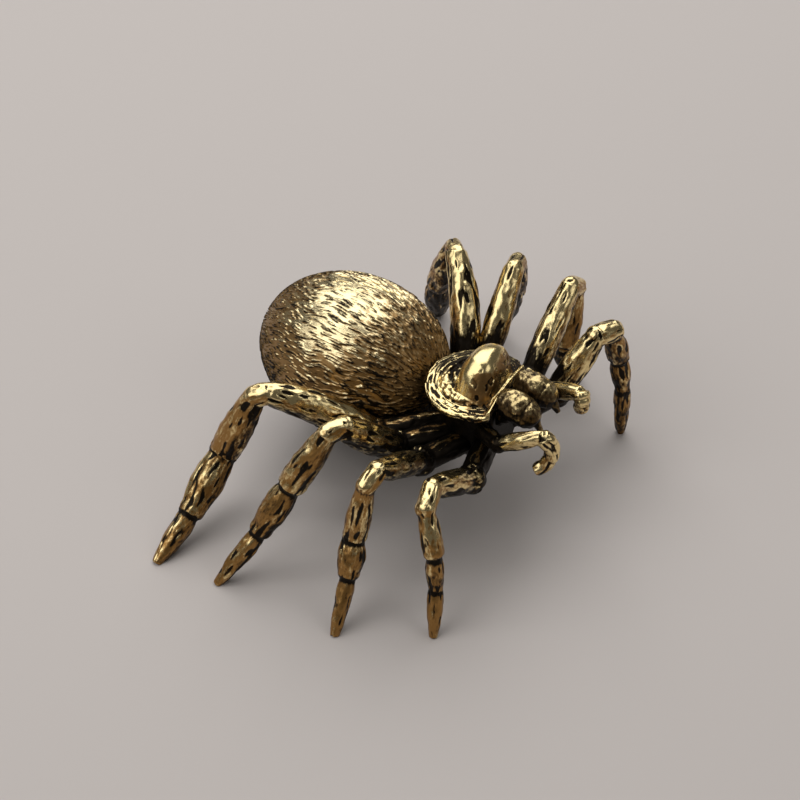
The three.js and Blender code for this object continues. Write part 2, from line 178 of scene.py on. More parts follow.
def clouds(places, seed):
    """Smooth random values from about -1 to 1, one for each place, that change over one unit."""
    return np.array([noise.noise(place) for place in (places + SEED_SHIFT * seed).tolist()])


def hollows(piece, reach):
    """How deep each point lies in a hollow of about that many edges, in millimetres."""
    points = points_of(piece)
    ends = read(piece.data.edges, "vertices", 2)
    count = np.bincount(ends.ravel(), minlength=len(points))[:, None]
    eased = points.copy()
    for _ in range(reach):
        total = np.empty_like(eased)
        for axis in range(3):
            first = np.bincount(ends[:, 0], eased[ends[:, 1], axis], len(points))
            second = np.bincount(ends[:, 1], eased[ends[:, 0], axis], len(points))
            total[:, axis] = first + second
        eased = 0.5 * eased + 0.5 * total / count
    return ((eased - points) * normals_of(piece)).sum(axis=1)


def set_value(piece, name, values):
    """Stores one number or one vector for each point, for the finish to read."""
    kind = "FLOAT" if values.ndim == 1 else "FLOAT_VECTOR"
    layer = piece.data.attributes.new(name, kind, "POINT")
    layer.data.foreach_set("value" if values.ndim == 1 else "vector", values.astype(np.float32).ravel())


def set_finish(piece, material, grain, patina_and_shade, tarnish):
    """Grain is in millimetres; one layer holds patina and painted shade, the other tarnish and painted light.
    """
    set_value(piece, "grain", grain)
    set_value(piece, "patina_and_shade", np.clip(patina_and_shade, -1, 1))
    set_value(piece, "tarnish", np.clip(tarnish, -1, 1))
    move_to(piece, points_of(piece) * MM + thorax_axis)
    piece.data.shade_smooth()
    piece.data.materials.clear()
    piece.data.materials.append(material)


class Value:
    """A shader socket that takes part in sums, with numbers on either side."""

    def __init__(self, finish, socket):
        self.finish = finish
        self.socket = socket

    def sum(self, operation, first, second):
        return self.finish.node("Math", {"operation": operation}, {0: first, 1: second})

    def __add__(self, other):
        return self.sum("ADD", self, other)

    def __sub__(self, other):
        return self.sum("SUBTRACT", self, other)

    def __rsub__(self, other):
        return self.sum("SUBTRACT", other, self)

    def __mul__(self, other):
        return self.sum("MULTIPLY", self, other)

    __radd__ = __add__
    __rmul__ = __mul__


class Finish:
    """A material under construction."""

    def __init__(self, name):
        self.material = bpy.data.materials.new(name)
        self.material.use_nodes = True
        self.tree = self.material.node_tree
        self.surface = self.tree.nodes["Principled BSDF"]

    def fill(self, made, inputs):
        for key, value in inputs.items():
            if isinstance(value, Value):
                self.tree.links.new(value.socket, made.inputs[key])
            else:
                made.inputs[key].default_value = value

    def node(self, kind, settings, inputs, output=0):
        made = self.tree.nodes.new("ShaderNode" + kind)
        for key, value in settings.items():
            setattr(made, key, value)
        self.fill(made, inputs)
        return Value(self, made.outputs[output])

    def stored(self, name, output):
        return self.node("Attribute", {"attribute_name": name}, {}, output)

    def between(self, low, high, value):
        """Rises smoothly from 0 to 1 as the value goes from low to high."""
        ends = {"Value": value, "From Min": low, "From Max": high}
        return self.node("MapRange", {"interpolation_type": "SMOOTHSTEP"}, ends)

    def mix(self, share, first, second):
        """One colour and the other, by share."""
        factor, colour_a, colour_b, result = 0, 6, 7, 2
        ends = {factor: share, colour_a: first, colour_b: second}
        return self.node("Mix", {"data_type": "RGBA"}, ends, result)

    def clouds(self, stretch, detail):
        """Random values about 0, finer where the stretch is greater."""
        grain = self.stored("grain", "Vector")
        place = self.node("VectorMath", {"operation": "MULTIPLY"}, {0: grain, 1: stretch})
        inputs = {"Vector": place, "Scale": 1.0, "Detail": detail, "Roughness": 0.55}
        return self.node("TexNoise", {}, inputs, "Fac") - 0.5


def antique_brass(name, gold, brown, black, dullness, under_shade_strength=0.7, engraving=0.0):
    """Gold brass, brown tarnish in streaks, black patina; painted shade browns sides and blackens undersides.
    """
    finish = Finish(name)
    streaks = finish.clouds((1.5, 1.5, 0.45), 5.0)
    mottle = finish.clouds((5.5, 5.5, 2.6), 3.0)
    dust = finish.clouds((17.0, 17.0, 17.0), 2.0)
    scratches = finish.clouds((14.0, 14.0, 1.5), 2.0)
    # Painted shade: faces turned away from the top go brown, and faces turned down go black.
    facing = finish.node("NewGeometry", {}, {}, "Normal")
    upward = finish.node("SeparateXYZ", {}, {0: facing}, "Z")
    painted_side_shade = finish.between(0.9, 0.3, upward)
    painted_under_shade = finish.between(0.42, -0.35, upward)
    # The brown takes the tarnish and the painted side shade; the black takes the patina and the painted under
    # shade.
    skin = finish.stored("tarnish", "Fac") + 1.3 * streaks + 0.7 * mottle + 0.3 * painted_side_shade
    patina_and_shade_darkness = finish.stored("patina_and_shade", "Fac") + 0.9 * mottle + 1.1 * streaks + under_shade_strength * painted_under_shade
    if engraving:
        hatching = finish.between(0.05, 0.13, finish.clouds((7.5, 7.5, 1.3), 1.0))
        patina_and_shade_darkness = patina_and_shade_darkness + engraving * hatching
    tarnish_and_shade_brown = finish.between(0.3, 0.64, skin)
    patina_and_shade_black = finish.between(0.26, 0.76, patina_and_shade_darkness)
    metal = finish.mix(tarnish_and_shade_brown, (*gold, 1), (*brown, 1))
    colour = finish.mix(patina_and_shade_black, metal, (*black, 1))
    roughness = dullness + 0.12 * tarnish_and_shade_brown + 0.16 * patina_and_shade_black + 0.2 * dust + 0.12 * scratches
    relief = 0.5 * mottle + 0.3 * dust + 0.35 * scratches
    bump = finish.node("Bump", {}, {"Strength": 0.5, "Distance": 0.04 * MM, "Height": relief}, "Normal")
    finish.fill(finish.surface, {
        "Base Color": colour,
        "Metallic": 1 - 0.2 * tarnish_and_shade_brown + 0.1 * patina_and_shade_black,
        "Roughness": roughness,
        "Normal": bump,
    })
    return finish.material


def thorax_form(grown):
    """An oval barrel with a rounded floor."""
    radius = THORAX_WIDTH / 2 + grown
    floor = SEAT_HEIGHT - THORAX_DEPTH - grown
    height = SEAT_HEIGHT - floor
    turn = np.linspace(0, np.pi / 2, 16)
    radii = np.concatenate([radius * np.sin(turn) ** 0.8, [0.98 * radius, 0.92 * radius, 0]])
    floor_heights = THORAX_FLOOR_SHARE * height * (1 - np.cos(turn))
    heights = np.concatenate([floor_heights, [0.75 * height, height, height]])
    foot = np.array([0.0, 0.0, floor])
    points, faces = turned(radii, heights, foot, foot + [0, 0, 1], 64)
    half_length = THORAX_REACH_BACK + THORAX_MIDDLE_FORWARD + grown
    points[:, 1] = points[:, 1] * half_length / radius - THORAX_MIDDLE_FORWARD
    return points, faces


pitch = Matrix.Rotation(-np.radians(SHIELD_TILT), 3, "X")
tilt = np.array(pitch @ Matrix.Rotation(np.radians(SHIELD_ROLL), 3, "Y"))


def from_shield(points):
    """From places on the shield's seat, which is tilted up at the head and on the right."""
    return points @ tilt.T + [0, 0, SEAT_HEIGHT]


def to_shield(points):
    """Back to places on the shield's seat."""
    return (points - [0, 0, SEAT_HEIGHT]) @ tilt


thorax = cast("thorax_barrel", [thorax_form(0)], fineness=0.14)
barrel = points_of(thorax)
barrel += THORAX_UNEVENNESS * clouds(barrel / 0.8, 1)[:, None] * normals_of(thorax)
barrel[:, 1] = np.maximum(barrel[:, 1], FACE_Y)
seated = to_shield(barrel)
seated[:, 2] = np.minimum(seated[:, 2], -SEAT_GAP)
barrel = from_shield(seated)
move_to(thorax, barrel)
DARK_GOLD = (0.58, 0.45, 0.22)
DARK_BROWN = (0.13, 0.08, 0.033)
SOOT = (0.012, 0.009, 0.006)
dark_brass = antique_brass("dark_brass", DARK_GOLD, DARK_BROWN, SOOT, dullness=0.22)
set_finish(thorax, dark_brass, barrel, 0.8 + 5 * hollows(thorax, 12), np.full(len(barrel), 0.7))
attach(thorax, "root")
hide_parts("thorax")

# Waist stud: the short neck that carries the abdomen behind the thorax.
# It is a turned brass collar with a peg at each end, brazed into both castings.
WAIST_DROP = 3.0
WAIST_LENGTH = 0.8
WAIST_RADIUS = 1.3
WAIST_PEG_RADIUS = 0.8
PEG_DEPTH = 1.6
WAIST_HEIGHT = SEAT_HEIGHT - WAIST_DROP
ABDOMEN_FRONT = THORAX_REACH_BACK + WAIST_LENGTH

collar_start = THORAX_REACH_BACK + SEAT_GAP
collar_end = ABDOMEN_FRONT - SEAT_GAP
collar_middle = (collar_start + collar_end) / 2
stud_profile = [
    (0, THORAX_REACH_BACK - PEG_DEPTH),
    (WAIST_PEG_RADIUS, THORAX_REACH_BACK - PEG_DEPTH),
    (WAIST_PEG_RADIUS, collar_start),
    (WAIST_RADIUS, collar_start),
    (0.9 * WAIST_RADIUS, collar_middle),
    (WAIST_RADIUS, collar_end),
    (WAIST_PEG_RADIUS, collar_end),
    (WAIST_PEG_RADIUS, ABDOMEN_FRONT + PEG_DEPTH),
    (0, ABDOMEN_FRONT + PEG_DEPTH),
]
stud_radii, stud_stations = np.array(stud_profile).T
stud_axis = np.array([0, 0, WAIST_HEIGHT])
stud_form = turned(stud_radii, stud_stations, stud_axis, stud_axis + [0, 1, 0], 40)
stud = cast("waist_collar", [stud_form], fineness=0.1)
neck = points_of(stud)
set_finish(stud, dark_brass, neck, 0.5 + 6 * hollows(stud, 8), np.full(len(neck), 0.6))
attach(stud, "root")
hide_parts("waist_stud")

# Carapace: the hat-like shield over the thorax, cast in one piece and brazed on by a hidden peg.
# A brim of scratched rings and crescent grooves runs round a tall polished hump, whose pitted front falls
# to a raised brow, set askew over the face. The high parts are bright and grooves and pits stay black;
# painted shade darkens the valley by the hump, the low side wall and the far brim at the left and back.
SHIELD_SIDE_OVERHANG = 1.75
SHIELD_BACK_OVERHANG = 1.35
SHIELD_MIDDLE_FORWARD = 0.3
SHIELD_RISE = 1.5
SHIELD_LIP = 0.85
BROW_RADIUS = 0.3
BROW_RISE = 0.12
BROW_INSET = 0.1
BROW_SETBACK = 0.12
BROW_SKEW = 0.15
BROW_BOW = 0.012
SHIELD_SIDE_DROOP = 0.4
HUMP_REACH_RIGHT = 3.45
HUMP_REACH_LEFT = 3.5
HUMP_REACH_BACK = 2.4
HUMP_REACH_FORWARD = 1.9
HUMP_HEIGHT = 4.5
HUMP_FORWARD = 1.15
HUMP_SQUARENESS = 2.5
# Each groove of the brim: its place between the middle and the rim, its depth and its half-width.
BRIM_GROOVES = [(0.73, 0.22, 0.025), (0.53, 0.35, 0.05)]
SHIELD_UNEVENNESS = 0.05
SHIELD_MEAN_RADIUS = 5
ROUND_STRETCH = 0.13
SCRATCH_DEPTH = 0.07
SCRATCH_WIDTH = 0.125
PIT_DEPTH = 0.1
PIT_SIZE = 0.5
GNARL_HEIGHT = 0.2
GNARL_SIZE = 0.42
SHIELD_HALF_WIDTH = THORAX_WIDTH / 2 + SHIELD_SIDE_OVERHANG
SHIELD_HALF_LENGTH = THORAX_REACH_BACK + SHIELD_BACK_OVERHANG + SHIELD_MIDDLE_FORWARD


def brim_share(x, y):
    """0 in the middle of the shield's oval and 1 on its rim."""
    return np.hypot(x / SHIELD_HALF_WIDTH, (y + SHIELD_MIDDLE_FORWARD) / SHIELD_HALF_LENGTH)


def hump_share(x, y):
    """0 at the hump's top and 1 on its edge, with a reach of its own to each side."""
    behind = y + HUMP_FORWARD
    reach_along = np.where(behind > 0, HUMP_REACH_BACK, HUMP_REACH_FORWARD)
    reach_across = np.where(x > 0, HUMP_REACH_LEFT, HUMP_REACH_RIGHT)
    aside = np.abs(x / reach_across) ** HUMP_SQUARENESS
    return np.sqrt(aside + np.abs(behind / reach_along) ** HUMP_SQUARENESS)


def shield_height(x, y):
    """The height of the shield's top over its seat."""
    share = brim_share(x, y)
    brim = SHIELD_LIP + (SHIELD_RISE - SHIELD_LIP) * smooth_step(0.85, 0.45, share)
    for place, depth, width in BRIM_GROOVES:
        brim -= depth * np.exp(-((share - place) / width) ** 2)
    edge = np.clip((share - 0.94) / 0.06, 0, 1)
    brim = brim * (0.8 + 0.2 * np.sqrt(1 - edge**2))
    hump = HUMP_HEIGHT * np.sqrt(np.clip(1 - hump_share(x, y) ** 2, 0, 1))
    brow_top = np.clip(1 - ((y - FACE_Y - BROW_INSET) / BROW_RADIUS) ** 2, 0, 1)
    brow = (SHIELD_LIP + BROW_RISE + BROW_RADIUS * np.sqrt(brow_top)) * (brow_top > 0) * (share < 0.97)
    return np.maximum(np.maximum(brim, hump), brow)


def side_droop(x):
    """How far the shield hangs down at its sides."""
    return SHIELD_SIDE_DROOP * (x / SHIELD_HALF_WIDTH) ** 2


def brow_bend(x, y):
    """How far back the brow lies, which runs askew: its right end is further forward than its left one."""
    return (BROW_SETBACK + BROW_SKEW * x - BROW_BOW * x**2) * smooth_step(-1.2, -2.9, y)


def shield_form():
    """The shield as rings from the middle of its top out to the rim and back under it."""
    sides, steps = 240, 110
    angle = np.linspace(0, 2 * np.pi, sides, endpoint=False)
    rim_x = SHIELD_HALF_WIDTH * np.cos(angle)
    rim_y = SHIELD_HALF_LENGTH * np.sin(angle)
    to_face = (FACE_Y + SHIELD_MIDDLE_FORWARD) / np.minimum(rim_y, -1e-6)
    reach = np.minimum(1, np.where(rim_y < 0, to_face, 1))
    share = np.linspace(0, 1, steps + 1)[1:, None]
    x = share * reach * rim_x
    y = share * reach * rim_y - SHIELD_MIDDLE_FORWARD
    top = np.stack([x, y, shield_height(x, y)], axis=-1)
    under_share = np.array([0.97, 0.93, 0.3])[:, None]
    under_x = under_share * reach * rim_x
    under_y = np.maximum(under_share * rim_y * reach - SHIELD_MIDDLE_FORWARD, FACE_Y)
    under_z = np.zeros_like(under_x) + np.array([0.3 * SHIELD_LIP, 0, 0])[:, None]
    rings = np.concatenate([top, np.stack([under_x, under_y, under_z], axis=-1)])
    middle_y = -SHIELD_MIDDLE_FORWARD
    crown = [0, middle_y, shield_height(0.0, middle_y)]
    points = np.vstack([crown, rings.reshape(-1, 3), [0, middle_y, 0]])
    last = len(points) - 1
    faces = []
    for here in range(sides):
        beside = (here + 1) % sides
        faces.append((0, 1 + here, 1 + beside))
        for ring in range(len(rings) - 1):
            low, high = 1 + ring * sides, 1 + (ring + 1) * sides
            faces.append((low + here, high + here, high + beside, low + beside))
        faces.append((last - sides + beside, last - sides + here, last))
    points[:, 2] -= side_droop(points[:, 0])
    points[:, 1] += brow_bend(points[:, 0], points[:, 1])
    return from_shield(points), faces


shield = cast("shield", [shield_form()], fineness=0.07, rounds=1)
shell = points_of(shield)
across, ahead, above = to_shield(shell).T
above = above + side_droop(across)
straight = ahead - brow_bend(across, ahead)
ahead = ahead - brow_bend(across, straight)
share = brim_share(across, ahead)
hump_part = smooth_step(1.1, 0.95, hump_share(across, ahead))
brow_part = smooth_step(0.6, 0.45, ahead - FACE_Y)
front_part = smooth_step(0.9, 0.7, above / HUMP_HEIGHT) * smooth_step(-0.9, -1.9, ahead) * (1 - brow_part)
brim_part = (1 - hump_part) * (1 - brow_part) * smooth_step(0.2, 0.5, above)
bearing = np.arctan2(across / SHIELD_HALF_WIDTH, (ahead + SHIELD_MIDDLE_FORWARD) / SHIELD_HALF_LENGTH)
round_places = [ROUND_STRETCH * np.sin(bearing), ROUND_STRETCH * np.cos(bearing)]
rings = SHIELD_MEAN_RADIUS * np.stack([share, *round_places], axis=1)
scratched = smooth_step(-0.02, 0.18, clouds(rings / SCRATCH_WIDTH, 3)) * brim_part
scratched = scratched * smooth_step(0.73, 0.77, share)
gnarled = clouds(shell / GNARL_SIZE, 6) * brim_part * smooth_step(0.75, 0.71, share)
pitted = smooth_step(0.12, 0.36, clouds(shell / PIT_SIZE, 5)) * front_part
uneven = SHIELD_UNEVENNESS * clouds(shell / 1.1, 4) + GNARL_HEIGHT * gnarled
uneven = uneven - SCRATCH_DEPTH * scratched - PIT_DEPTH * pitted
shell += uneven[:, None] * normals_of(shield)
move_to(shield, shell)
hollow = hollows(shield, 16)
BRIGHT_GOLD = (0.88, 0.7, 0.34)
WARM_BROWN = (0.24, 0.135, 0.045)
BLACK = (0.015, 0.011, 0.007)
polished_brass = antique_brass("polished_brass", BRIGHT_GOLD, WARM_BROWN, BLACK, dullness=0.2)
# Painted shade darkens the valley by the hump, the low side wall and the far brim, and browns the far brim.
valley = smooth_step(0.62, 0.5, share) * brim_part
shaded = 0.5 * valley + 0.6 * smooth_step(0.35, 0.1, above)
inner_brim = smooth_step(0.76, 0.7, share) * brim_part
far_brim_shade = smooth_step(-1, 2.5, across + 0.5 * ahead) * brim_part
shield_patina_and_shade = 0.8 * scratched + 0.5 * pitted + 9 * hollow + 0.3 * inner_brim + 0.8 * far_brim_shade + shaded
shield_tarnish_and_shade = 0.08 + 0.07 * hump_part + 0.4 * front_part + 6 * hollow + 0.3 * inner_brim + 0.3 * far_brim_shade
set_finish(shield, polished_brass, rings * [1, 1, 3], shield_patina_and_shade, shield_tarnish_and_shade)
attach(shield, "root")
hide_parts("carapace")

# Legs: eight cast legs of seven segments each, pegged into the thorax in pairs and bent by hand.
# Each segment swells from a narrow neck to a belly and ends in a lip, and the next one comes out of it.
# Brown tarnish runs along them in streaks and black stays in the rings; painted shade darkens their sides,
# undersides and the parts near the body, where the tops keep a painted glint.
LEG_SOCKET_DROP = 4.3
COXA_RADIUS = 1.2
COXA_RISE = 4
TROCHANTER_RADIUS = 1.45
FOOT_SINK = 0.05
# By pair: the lengths of femur, patella, tibia and metatarsus, and the radii of these and the tarsus.
PAIRS = [
    dict(depth=1.6, station=0.7, lengths=(6.9, 2.1, 4.4, 3.7), radii=(1.25, 0.98, 1.0, 0.88, 0.75)),
    dict(depth=1.6, station=2.2, lengths=(9.7, 1.7, 6.1, 3.7), radii=(1.2, 0.95, 1.15, 1.25, 0.8)),
    dict(depth=1.6, station=3.6, lengths=(9.4, 1.5, 6.6, 5.8), radii=(1.3, 1.0, 1.4, 1.35, 0.9)),
    dict(depth=2.4, station=5.0, lengths=(10.8, 1.4, 7.8, 6.6), radii=(1.4, 1.08, 1.55, 1.6, 1.05)),
]
# Each leg has its hip's reach and sweep, then the sweep and slope of femur, shin, ankle and foot.
# Girth makes the femur and the other segments stouter, and bow bends the femur forward and up.
LEG_POSES = {
    "right": [
        dict(hip=(5.2, 16), femur=(-4, 32), shin=(53, -59), ankle=(49, -80), foot=(29, -64)),
        dict(hip=(6.0, -20), femur=(4, 36), shin=(-32, -78), ankle=(17, -60), foot=(11, -54)),
        dict(
            hip=(6.4, -36), femur=(-12, 46), shin=(-43, -58), ankle=(-33, -56), foot=(-31, -48),
            girth=(1.15, 1), bow=(0, -0.3),
        ),
        dict(
            hip=(7.6, -40), femur=(-55, 29), shin=(-57, -66), ankle=(-2, -35), foot=(-5, -29),
            girth=(1.12, 1), bow=(0, 0.4),
        ),
    ],
    "left": [
        dict(
            hip=(5.2, 24), femur=(29, 54), shin=(9, -73), ankle=(94, -78), foot=(55, -88),
            girth=(1.08, 1.12),
        ),
        dict(
            hip=(5.2, 6), femur=(-4, 35), shin=(-8, -109), ankle=(-7, -72), foot=(-12, -52),
            girth=(1.1, 1.1),
        ),
        dict(
            hip=(5.6, -30), femur=(-10, 43), shin=(-34, -66), ankle=(-55, -69), foot=(-56, -46),
            girth=(1, 0.9),
        ),
        dict(
            hip=(5.4, -37), femur=(-37, 36), shin=(-58, -66), ankle=(-34, -64), foot=(-34, -30),
            girth=(1.06, 0.86), bow=(0.7, 0),
        ),
    ],
}
# The shares of a segment: its neck's radius, its belly's place, its end's radius and its lip.
COXA_SHAPE = (0.9, 0.5, 0.9, 0.0)
FEMUR_SHAPE = (0.85, 0.45, 0.74, 0.0)
PATELLA_SHAPE = (0.95, 0.5, 0.95, 0.0)
TIBIA_SHAPE = (0.68, 0.7, 0.88, 0.05)
METATARSUS_SHAPE = (0.72, 0.45, 0.66, 0.06)
TARSUS_SHAPE = (0.86, 0.25, 0.5, 0.0)
SIDES = {"left": 1, "right": -1}
KNEE_SHARE = 0.97
FACETS = 5
FACET_SHARE = 0.2
NICK_DEPTH = 0.07
NICKS_PER_MM = np.array([2.4, 2.4, 0.6])
DENT_DEPTH = 0.09
DENTS_PER_MM = np.array([1.3, 1.3, 0.8])
GRAIN_SHIFT = 31.7
RING_PLACE = 0.25
RING_WIDTH = 0.28
# How far from the thorax's axis the painted shade near the body reaches, and over what distance it fades.
BODY_SHADE_REACH = 10.4
BODY_SHADE_FADE = 3.5
# How brown and how black each stretch is, from coxa to tarsus, and how black the ring at its start is.
# The black is patina, and it also deepens the painted shade on the undersides.
STRETCH_TARNISH = (0.6, 0.25, 0.32, 0.4, 0.5, 0.55)
STRETCH_BLACK = (0.35, 0.27, 0.05, 0.18, 0.36, 0.28)
RING_DARKNESS = (0.0, 0.3, 0.0, 0.0, 0.85, 0.85)


def heading(side, sweep, slope):
    """A direction by its sweep forward of straight out and its slope up from level, in degrees."""
    sweep, slope = np.radians(sweep), np.radians(slope)
    return np.array([side * np.cos(slope) * np.cos(sweep), -np.cos(slope) * np.sin(sweep), np.sin(slope)])


def segment(start, end, radius, shape, turn=0.0, facet_share=0.0, bow=(0, 0, 0)):
    """One limb segment, from its neck over its belly to its lip."""
    neck, belly, tip, lip = shape
    length = np.linalg.norm(end - start)
    share = np.linspace(0, 1, 41)
    swell = np.where(
        share < belly,
        neck + (1 - neck) * np.sin(np.pi / 2 * np.minimum(share / belly, 1)),
        tip + (1 - tip) * np.cos(np.pi / 2 * np.maximum(share - belly, 0) / (1 - belly)),
    )
    swell = swell + lip * smooth_step(0.87, 0.92, share)
    dome = np.linspace(0, np.pi / 2, 7)[1:]
    neck_dome = np.cos(dome[::-1])
    radii = radius * np.concatenate([neck * neck_dome, swell, (tip + lip) * np.cos(dome)])
    neck_rise = -0.3 * neck * radius * np.sin(dome[::-1])
    tip_rise = length + 0.25 * tip * radius * np.sin(dome)
    stations = np.concatenate([neck_rise, length * share, tip_rise])
    radii[[0, -1]] = 0
    sides = 40
    angle = np.linspace(0, 2 * np.pi, sides, endpoint=False) + turn
    facet = 2 * np.pi / FACETS
    flat = np.cos(facet / 2) / np.cos(angle % facet - facet / 2)
    section = 1 + facet_share * (flat / flat.mean() - 1)
    return turned(radii, stations, start, end, sides, section, bow)


def ball(centre, radius):
    """A ball, for a joint."""
    turn = np.linspace(0, np.pi, 19)
    radii = radius * np.sin(turn)
    radii[[0, -1]] = 0
    return turned(radii, -radius * np.cos(turn), centre, centre + [0, 0, 1.0], 36)


def leg_plan(side, pair, hip, femur, shin, ankle, foot, girth=(1, 1), bow=(0, 0)):
    """A leg's joints from its socket to its foot, just under the ground, its radii and its femur's bow."""
    femur_length, patella_length, tibia_length, metatarsus_length = pair["lengths"]
    femur_way, shin_way, foot_way = heading(side, *femur), heading(side, *shin), heading(side, *foot)
    out = side * (THORAX_WIDTH / 2 - pair["depth"])
    root_place = np.array([out, FACE_Y + pair["station"], SEAT_HEIGHT - LEG_SOCKET_DROP])
    hip_reach, hip_sweep = hip
    hip_place = root_place + hip_reach * heading(side, hip_sweep, COXA_RISE)
    knee = hip_place + femur_length * femur_way
    shin_top = knee + patella_length * unit(femur_way + shin_way)
    ankle_place = shin_top + tibia_length * shin_way
    wrist = ankle_place + metatarsus_length * heading(side, *ankle)
    toe = wrist + foot_way * (-FOOT_SINK - wrist[2]) / foot_way[2]
    femur_girth, other_girth = girth
    return dict(
        joints=[root_place, hip_place, knee, shin_top, ankle_place, wrist, toe],
        radii=np.array(pair["radii"]) * np.array([femur_girth] + 4 * [other_girth]),
        bow=np.array([0, -bow[0], bow[1]]),
    )


def thigh_forms(plan, grown):
    """Coxa, trochanter and femur, grown by a gap where they are a neighbour's room."""
    root, hip, knee = plan["joints"][:3]
    return [
        segment(root, hip, COXA_RADIUS + grown, COXA_SHAPE),
        ball(hip, TROCHANTER_RADIUS + grown),
        segment(hip, knee, plan["radii"][0] + grown, FEMUR_SHAPE, 0.6, FACET_SHARE, plan["bow"]),
    ]


def leg_forms(plan):
    """Every segment of a leg, with balls at its knee."""
    knee, shin_top, ankle, wrist, toe = plan["joints"][2:]
    _, patella, tibia, metatarsus, tarsus = plan["radii"]
    return thigh_forms(plan, 0) + [
        ball(knee, KNEE_SHARE * patella),
        segment(knee, shin_top, patella, PATELLA_SHAPE, 0.2, FACET_SHARE),
        ball(shin_top, KNEE_SHARE * patella),
        segment(shin_top, ankle, tibia, TIBIA_SHAPE, 0.9, FACET_SHARE),
        segment(ankle, wrist, metatarsus, METATARSUS_SHAPE, 0.4, FACET_SHARE),
        segment(wrist, toe, tarsus, TARSUS_SHAPE, 0.0, FACET_SHARE),
    ]


def limb_places(points, joints):
    """Places across and along the limb, the stretch of each point, and its way from the joint before."""
    nearest = np.full(len(points), np.inf)
    grain = np.zeros_like(points)
    stretch = np.zeros(len(points), int)
    past = np.zeros(len(points))
    travelled = 0.0
    for number, (start, end) in enumerate(zip(joints, joints[1:])):
        way = unit(end - start)
        across = level_across(way)
        length = np.linalg.norm(end - start)
        along = np.clip((points - start) @ way, 0, length)
        off = points - start - along[:, None] * way
        away = np.linalg.norm(off, axis=1)
        closer = away < nearest
        here = np.stack([off @ across, off @ np.cross(across, way), travelled + along], axis=1)
        grain[closer] = here[closer]
        stretch[closer] = number
        past[closer] = along[closer]
        nearest[closer] = away[closer]
        travelled += length
    return grain, stretch, past


def weather(piece, joints, material, tarnish, black, rings, body_shade_reach, seed):
    """Dents, lengthwise nicks, patina in them and in the rings, and painted shade and glints near the body.
    """
    points = points_of(piece)
    grain, stretch, past = limb_places(points, joints)
    nicks = smooth_step(0.12, 0.42, clouds(grain * NICKS_PER_MM, seed))
    dents = clouds(grain * DENTS_PER_MM, seed + 0.5) + 0.4 * clouds(grain * 2 * DENTS_PER_MM, seed + 0.7)
    points += (DENT_DEPTH * dents - NICK_DEPTH * nicks)[:, None] * normals_of(piece)
    points[:, 2] = np.maximum(points[:, 2], 0)
    move_to(piece, points)
    hollow = hollows(piece, 14)
    ring = np.array(rings)[stretch] * np.exp(-((past - RING_PLACE) / RING_WIDTH) ** 2)
    # Near the body the skin gets painted shade, except for a painted glint on points that face straight up.
    painted_top_glint = smooth_step(0.9, 0.99, normals_of(piece)[:, 2])
    near_body_shade = smooth_step(body_shade_reach, body_shade_reach - BODY_SHADE_FADE, np.hypot(points[:, 0], points[:, 1]))
    painted_body_shade = near_body_shade * (1 - 0.75 * painted_top_glint)
    patina_and_shade = np.array(black)[stretch] + 0.6 * nicks + 6 * hollow + ring + 0.9 * painted_body_shade
    skin = np.array(tarnish)[stretch] + 5 * hollow + 0.3 * painted_body_shade
    set_finish(piece, material, grain + GRAIN_SHIFT * seed, patina_and_shade, skin)


LEG_GOLD = (0.86, 0.68, 0.34)
LEG_BROWN = (0.34, 0.18, 0.05)
leg_brass = antique_brass("leg_brass", LEG_GOLD, LEG_BROWN, BLACK, dullness=0.19, under_shade_strength=0.5)
hind_plans = []
for side_name, side in SIDES.items():
    rooms = []
    for number, pair in enumerate(PAIRS, start=1):
        plan = leg_plan(side, pair, **LEG_POSES[side_name][number - 1])
        name = f"{side_name}_walking_leg_{number}"
        leg = cast(name, leg_forms(plan), fineness=0.1, rooms=[thorax_form(SEAT_GAP), *rooms], rounds=4)
        seed = number + 4 * (side > 0)
        joints = plan["joints"]
        weather(leg, joints, leg_brass, STRETCH_TARNISH, STRETCH_BLACK, RING_DARKNESS, BODY_SHADE_REACH, seed)
        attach(leg, "root")
        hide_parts(f"{side_name}_leg_{number}")
        rooms = thigh_forms(plan, SEAT_GAP)
    hind_plans.append(plan)

# Abdomen: the big egg behind, a solid casting filed clear of the shield and the hind legs.
# Its whole skin is engraved with short lengthwise strokes like hair, fine on top and coarser low at the
# front. A painted highlight lies on top, painted shade browns the sides and darkens the underside, the
# front end is browner, and dark patina fills the strokes.
ABDOMEN_LENGTH = 19.3
ABDOMEN_DIAMETER = 15.3
ABDOMEN_FRONT_FULLNESS = 0.02
ABDOMEN_UNEVENNESS = 0.03
STROKE_DEPTH = 0.15
FINE_STROKE = dict(width=0.17, length=1.3)
COARSE_STROKE = dict(width=0.3, length=1.2)
ABDOMEN_SIDES = 960
ABDOMEN_RINGS = 240

ring_angle = np.linspace(0, np.pi, ABDOMEN_RINGS + 1)
egg_radii = ABDOMEN_DIAMETER / 2 * np.sin(ring_angle) * (1 + ABDOMEN_FRONT_FULLNESS * np.cos(ring_angle))
egg_radii[[0, -1]] = 0
egg_stations = ABDOMEN_LENGTH / 2 * (1 - np.cos(ring_angle))
egg_front = np.array([0, ABDOMEN_FRONT, WAIST_HEIGHT])
egg_middle = egg_front + [0, ABDOMEN_LENGTH / 2, 0]
egg_form = turned(egg_radii, egg_stations, egg_front, egg_front + [0, 1, 0], ABDOMEN_SIDES)
abdomen = new_object("engraved_abdomen", [egg_form])


